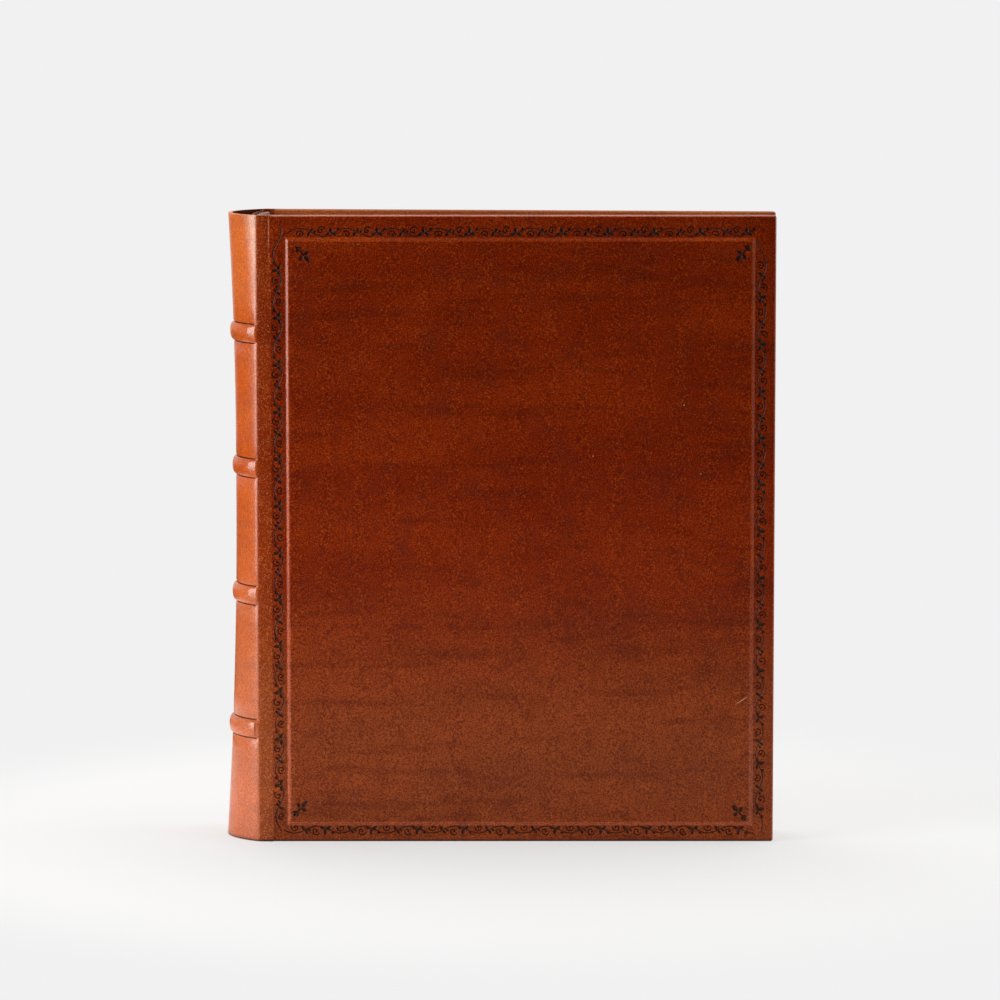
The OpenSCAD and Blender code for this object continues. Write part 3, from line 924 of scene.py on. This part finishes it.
# %% Fleurons and marks
def fleuron(x, z, turn):
    """A leaf and two curled ones that point into the panel, with a stem and a small foot."""
    made = join([lobe(*numbers) for numbers in (
        (3.0, 0, 4.4, 2.2, 0), (-1.2, 0, 4.4, 0.8, 0), (-3.9, 0, 3.0, 1.8, 0), (0.6, 1.75, 3.1, 2.0, 72),
        (0.6, -1.75, 3.1, 2.0, -72), (-3.2, 1.0, 2.2, 1.1, 140), (-3.2, -1.0, 2.2, 1.1, -140))], "fleuron")
    apply_all(made)
    made.rotation_euler = (0, -radians(turn), 0)
    made.location = (mm(x), -panel_rise + mm(0.08), mm(z))
    apply_all(made)
    return made


fleurons = [fleuron(18.0, 293.8, -48), fleuron(234.7, 294.3, -132), fleuron(15.6, 17.0, 48),
            fleuron(234.3, 14.8, 132)]


def mark(x, z, length, width, turn, depth, finish_of):
    """A shallow mark on the panel: half a flat ellipsoid."""
    made = shape(bpy.ops.mesh.primitive_uv_sphere_add, segments=12, ring_count=8, radius=1,
                 location=mm(x, -0.99, z), rotation=(0, -radians(turn), 0),
                 scale=mm(length / 2, depth, width / 2))
    made.data.materials.append(finish_of)
    return made


marks = [
    mark(235.0, 71.3, 7.6, 0.42, 32, 0.08, calf_scuffed),
    mark(205.9, 219.2, 0.8, 0.7, 0, 0.08, calf_scuffed),
    mark(161.0, 193.9, 0.6, 0.6, 0, 0.08, calf_scuffed),
    mark(214.4, 184.9, 0.7, 0.6, 0, 0.08, calf_scuffed),
    mark(230.3, 134.4, 16.0, 0.34, 0, 0.14, calf_scorched_and_painted_crease_shade),
]

# %% Cut the tooling
stems = join([stem for stem, unit in lines], "stems")
ornaments = join([unit for stem, unit in lines] + fleurons, "ornaments")
for cutter in (stems, ornaments):
    cutter.data.materials.clear()
    cutter.data.materials.append(calf_scorched_and_painted_crease_shade)
    cutter.location.y = mm(-0.02 if cutter == stems else 0.04)
    apply_all(cutter)
    print(measure(cutter))
back_skin = copy_of(front_skin)
for skin, marks_on in ((front_skin, marks), (back_skin, [])):
    carve(skin, copy_of(stems))
    carve(skin, join([copy_of(ornaments)] + marks_on, "cutter"), overlapping=True)
for cutter in (stems, ornaments):
    bpy.data.objects.remove(cutter)

# %% [markdown]
# The back cover is the front one mirrored, without the marks. A mirrored mesh is inside out, so its faces are
# turned again. Both covers then go to their places and lean against the leaves.

# %% Place both covers
def cover_place(side):
    """Turns and moves a flat cover to the front (side 1) or, mirrored, to the back (side -1)."""
    return (Matrix.Diagonal((1, side, 1, 1)) @ Matrix.Translation((hinge_x, -half_t - axis_out, 0))
            @ Matrix.Rotation(tilt, 4, "Z") @ Matrix.Translation((0, axis_out, 0)))


for piece, side, name in ((front_skin, 1, "front_cover_calf"), (back_skin, -1, "back_cover_calf")):
    piece.name = piece.data.name = name
    piece.data.transform(cover_place(side))
    if side < 0:
        edit(piece)
        bpy.ops.mesh.flip_normals()
        close()
    smooth(piece, 24)
    body = name.replace("_calf", "")
    hand_over(piece, body, body.replace("_cover", "_leather"))

# %% [markdown]
# ## The leaves
#
# The book has 38 gatherings of paper, each a few folded sheets. One slab stands for a gathering, and an array
# makes the stack. Columns of points are then resized: the stack is thick at the spine, where sewing thread
# swells it, and thin at the fore-edge. Rounding the back by hammer pushes the middle gatherings out, which
# leaves the fore-edge hollow. Small seeded shifts keep the gatherings from being all alike.

# %% Stack of gatherings
gatherings = 38
back_r, back_x = mm(70.15), mm(-51.86)
stack_half = 23.3
slab_t = 2 * stack_half / gatherings
spine_side, joint_x, fore_edge_x, tail_z, head_z = -118, -115.1, 132.5, 4, 309
half_at_joint, half_at_fore_edge = 18.9, 9.57
leaf_columns = {spine_side: 23.28, -115.5: 23.28, joint_x: half_at_joint, -60: 16.86,
                fore_edge_x: half_at_fore_edge}
leaves = block("leaves", (spine_side, -stack_half, tail_z), (fore_edge_x, slab_t - stack_half - 0.03, head_z))
edit(leaves)
for x in list(leaf_columns)[1:-1]:
    cut_at((mm(x), 0, 0), (1, 0, 0))
close()
repeat(leaves, gatherings, mm(0, slab_t, 0))
dice = random.Random(7)
fore_edge_hollow = 1.5
edit(leaves)
for i in range(gatherings):
    low = -stack_half + i * slab_t
    share = (2 * i + 1) / gatherings - 1
    arc = back_x - sqrt(back_r ** 2 - mm(share * stack_half) ** 2)
    drawn_in = fore_edge_hollow * (1 - share ** 2) + dice.uniform(0, 0.22)
    moves = [
        (lambda v: v.x < mm(spine_side + 0.1), (arc - mm(spine_side - 0.05), 0, 0)),
        (lambda v: v.x > mm(fore_edge_x - 0.1), mm(-drawn_in, 0, 0)),
        (lambda v: v.z > mm(head_z - 0.1), mm(0, 0, -dice.uniform(0, 0.16))),
        (lambda v: v.z < mm(tail_z + 0.1), mm(0, 0, dice.uniform(0, 0.1))),
    ]
    for test, step in moves:
        shift(lambda v: mm(low) - near < v.y < mm(low + slab_t - 0.02) and test(v), step)
ends = {spine_side: lambda v: v.x < mm(spine_side + 0.5), fore_edge_x: lambda v: v.x > mm(fore_edge_x - 12.5)}
for x, half in leaf_columns.items():
    stretch(ends.get(x, lambda v: abs(v.x - mm(x)) < near), (1, half / stack_half, 1), (0, 0, 0))
close()
hand_over(leaves, "book_block", "text_block")

# %% [markdown]
# The finish of the leaves draws the single sheets, which are a tenth of a millimetre thick. A point's height
# in the stack is its y divided by the stack's half thickness there, so the lines run with the sheets from the
# thick spine to the thin fore-edge. Old paper is cream, browner at its edges, and its head gathers dust.

# %% Paper edges
def page_edges(tree, at):
    """The cut edges of the leaves."""
    place = add_node(tree, "ShaderNodeSeparateXYZ", {0: at})
    slope = (half_at_fore_edge - half_at_joint) / (fore_edge_x - joint_x)
    half = calculate(tree, "ADD", calculate(tree, "MULTIPLY", place.outputs[0], slope),
                     mm(half_at_fore_edge - slope * fore_edge_x))
    level = calculate(tree, "DIVIDE", place.outputs[1], half)
    sheets, bundles = [
        add_node(tree, "ShaderNodeTexNoise", {"W": level, "Scale": scale, "Detail": detail},
                 noise_dimensions="1D").outputs[0] for scale, detail in ((110.0, 3.0), (17.0, 1.0))]
    stain = noise_of(tree, at, mm(22), 4.0)
    shade = lay_over(tree, "#cdb68a", "#f1e6c9", sheets, 0.35, 0.65)
    shade = lay_over(tree, shade, "#b79a68", bundles, 0.5, 0.75, 0.45)
    shade = lay_over(tree, shade, "#a98551", stain, 0.5, 0.75, 0.35)
    shade = lay_over(tree, shade, "#8f7a5c", place.outputs[2], mm(head_z - 0.8), mm(head_z - 0.2), 0.3)
    return surface(tree, shade, 0.85, sheets, 0.7, mm(0.15), {"Specular IOR Level": 0.25})


leaves.data.materials.append(finish("rag_paper_cut_edges_aged", page_edges))

# %% [markdown]
# ## Headbands
#
# A headband is silk thread wound over a core in two colours. A small circle is spun along the rounded back.
# Every second ring is drawn in a little, which gives the ridges of the thread, and the finish changes colour
# with the angle around the back's centre.

# %% Headband and tailband
bead_r, bead_way, bead_half, bead_steps = mm(1.38), back_r - mm(1.4), radians(17.4), 84


def silk(tree, at):
    """Thread in stripes of two colours around the back's centre."""
    place = add_node(tree, "ShaderNodeSeparateXYZ", {0: at})
    inwards = calculate(tree, "SUBTRACT", back_x, place.outputs[0])
    angle = calculate(tree, "ARCTAN2", place.outputs[1], inwards)
    stripe = calculate(tree, "FRACT", calculate(tree, "MULTIPLY", angle, bead_way / mm(2.0)))
    thread = noise_of(tree, at, mm(0.3), 1.0)
    shade = lay_over(tree, "#6e2016", "#8e5a30", calculate(tree, "PINGPONG", stripe, 0.5), 0.22, 0.28)
    shade = lay_over(tree, shade, "#32110b", thread, 0.4, 0.7, 0.35)
    return surface(tree, shade, 0.42, thread, 0.4, mm(0.1), {"Sheen Weight": 0.3})


silk_thread = finish("silk_thread_wound", silk)
for node, z in (("headband", 310.45), ("tailband", 2.55)):
    bead = shape(bpy.ops.mesh.primitive_circle_add, vertices=10, radius=bead_r, fill_type="NOTHING",
                 location=(back_x - bead_way, 0, mm(z)), rotation=(pi / 2, 0, 0))
    bead.name = bead.data.name = node + "_silk"
    centre = (back_x, 0, mm(z))
    edit(bead)
    bpy.ops.transform.rotate(value=bead_half, orient_axis="Z", center_override=centre)
    net = bmesh.from_edit_mesh(bead.data)
    way = 1 if sum(v.co.y for v in net.verts) < 0 else -1
    bpy.ops.mesh.spin(steps=bead_steps, angle=2 * bead_half, center=centre, axis=(0, 0, way))
    for i in range(1, bead_steps, 2):
        a = -bead_half + 2 * bead_half * i / bead_steps
        ring = Vector((back_x - bead_way * cos(a), bead_way * sin(a), mm(z)))
        across = Vector((sin(a), cos(a), 0))
        stretch(lambda v: abs((v - ring).dot(across)) < mm(0.1), (0.88, 0.88, 0.88), ring)
    close_ends()
    close()
    smooth(bead, 50)
    bead.data.materials.append(silk_thread)
    hand_over(bead, "book_block", node)

# %% [markdown]
# ## Paper joints
#
# Each endpaper is one folded sheet: one half lies on the leaves, the other is pasted to the board, and the
# strip between them lines the joint and bends as the cover opens. The strip starts as one point that is
# extruded along its path. The line is then extruded upwards and given its thickness.

# %% Paper joints
joint_path = [(0.04, 5.85), (-0.35, 5.83), (-0.55, 5.6), (-0.6, 4.2), (-0.6, 2.2), (-0.52, 1.6),
              (-0.35, 1.38), (-0.15, 1.33), (0.05, 1.33), (0.22, 1.38), (0.36, 1.6), (0.4, 2.6), (0.4, 4.4),
              (0.43, 5.3), (0.6, 5.5), (1.2, 5.53), (4.0, 5.53), (8.0, 5.53)]


def paper_joint(name, side):
    """The strip of endpaper in one joint, in its place."""
    strip = shape(bpy.ops.mesh.primitive_plane_add, size=mm(1), location=mm(*joint_path[0], 14.4))
    strip.name = strip.data.name = name
    edit(strip)
    bpy.ops.mesh.merge(type="CENTER")
    for before, after in zip(joint_path, joint_path[1:]):
        bpy.ops.mesh.extrude_vertices_move(
            TRANSFORM_OT_translate={"value": mm(after[0] - before[0], after[1] - before[1], 0)})
    bpy.ops.mesh.select_all(action="SELECT")
    bpy.ops.mesh.extrude_edges_move(TRANSFORM_OT_translate={"value": mm(0, 0, 284.2)})
    close()
    wall = strip.modifiers.new("wall", "SOLIDIFY")
    wall.thickness, wall.offset = mm(0.16), 0
    apply_all(strip)
    strip.data.transform(cover_place(side))
    edit(strip)
    face_outwards()
    close()
    smooth(strip, 50)
    bend(strip)
    return strip


paper_joints = [paper_joint("front_paper_joint", 1), paper_joint("back_paper_joint", -1)]

# %% [markdown]
# ## Finishes of what lies inside
#
# Flyleaves and pastedowns are laid rag paper, with faint lines about a millimetre apart from the mould's
# wires, and chain lines 25 mm apart. Boards are grey millboard with flecks of rag and rope. Tapes and cloth
# are plain woven linen, with a thread every 0.7 and 0.9 mm. The hollow tube is brown kraft paper, and the
# liner of the back is pared calf.

# %% Fibrous sheets
def fibrous(light, dark, fleck, cloud, bump, laid=False):
    """Paper or board: soft clouds of two shades, short flecks, and maybe the lines of a laid mould."""
    def build(tree, at):
        clouds = noise_of(tree, at, mm(cloud), 4.0)
        flecks = noise_of(tree, at, mm(0.7), 2.0, (3, 3, 1), 0.6)
        tooth = noise_of(tree, at, mm(0.35), 1.0)
        shade = lay_over(tree, light, dark, clouds, 0.35, 0.65)
        shade = lay_over(tree, shade, fleck, flecks, 0.62, 0.72, 0.5)
        height = tooth
        if laid:
            place = add_node(tree, "ShaderNodeSeparateXYZ", {0: at})
            wires = calculate(tree, "SINE", calculate(tree, "MULTIPLY", place.outputs[0], 2 * pi / mm(1.1)))
            chains = calculate(tree, "PINGPONG", place.outputs[2], mm(12.5))
            shade = lay_over(tree, shade, fleck, wires, 0.2, 1, 0.12)
            shade = lay_over(tree, shade, fleck, chains, mm(0.5), 0, 0.14)
            height = calculate(tree, "ADD", height, calculate(tree, "MULTIPLY", wires, 0.2))
        return surface(tree, shade, 0.88, height, bump, mm(0.1), {"Specular IOR Level": 0.25})
    return build


def plain_weave(light, dark, pitch):
    """Linen: two sets of round threads, over and under each other in turn, along y and z; painted
    shade where they dip.
    """
    def build(tree, at):
        place = add_node(tree, "ShaderNodeSeparateXYZ", {0: at})
        flat = add_node(tree, "ShaderNodeCombineXYZ", {0: place.outputs[1], 1: place.outputs[2]})
        over = add_node(tree, "ShaderNodeTexChecker", {0: flat.outputs[0], 3: 1 / mm(pitch)})
        warp, weft = [calculate(tree, "ABSOLUTE", calculate(tree, "SINE", calculate(
            tree, "MULTIPLY", place.outputs[axis], pi / mm(pitch)))) for axis in (1, 2)]
        height = add_node(tree, "ShaderNodeMix", {0: over.outputs[1], 2: warp, 3: weft}).outputs[0]
        uneven = noise_of(tree, at, mm(3), 3.0, (1, 1, 4))
        # Painted shade: darker where the threads dip.
        shade = lay_over(tree, dark, light, height, 0.1, 0.9)
        shade = lay_over(tree, shade, dark, uneven, 0.5, 0.75, 0.4)
        return surface(tree, shade, 0.9, height, 0.8, mm(0.2), {"Sheen Weight": 0.2})
    return build


# %% Finishes of the inner pieces
laid_paper = finish("rag_paper_laid", fibrous("#efe5ca", "#e9ddbe", "#b99b6a", 60, 0.3, laid=True))
millboard = finish("millboard_rolled_grey", fibrous("#8f8a7c", "#79735f", "#c9c2ae", 14, 0.8))
kraft = finish("kraft_paper_brown", fibrous("#b98f5c", "#a67c4a", "#7a5730", 18, 0.4))
tape = finish("linen_tape_woven", plain_weave("#e6dcc0", "#b7a67f", 0.7))
mull = finish("linen_cloth_open_woven", plain_weave("#e0d6bb", "#9a8a66", 0.9))
skiver = finish("calf_pared_thin", calf("#9a5a32", "#8a4a26", "#5a2c14", 0.6, 0.4))

for strip in paper_joints:
    strip.data.materials.append(laid_paper)
finishes_of_nodes = {
    laid_paper: ["front_flyleaf", "back_flyleaf", "front_pastedown", "back_pastedown"],
    millboard: ["front_board", "back_board", "front_panel_card", "back_panel_card", "spine_card",
                "raised_band_1", "raised_band_2", "raised_band_3", "raised_band_4"],
    kraft: ["hollow_tube"],
    tape: ["sewing_tape_1", "sewing_tape_2", "sewing_tape_3"],
    mull: ["spine_cloth"],
    skiver: ["spine_liner"],
}
for material, nodes in finishes_of_nodes.items():
    for node in nodes:
        for place in frame["nodes"][node].material_slots:
            place.link, place.material = "OBJECT", material
    print(material.name, "on", nodes)
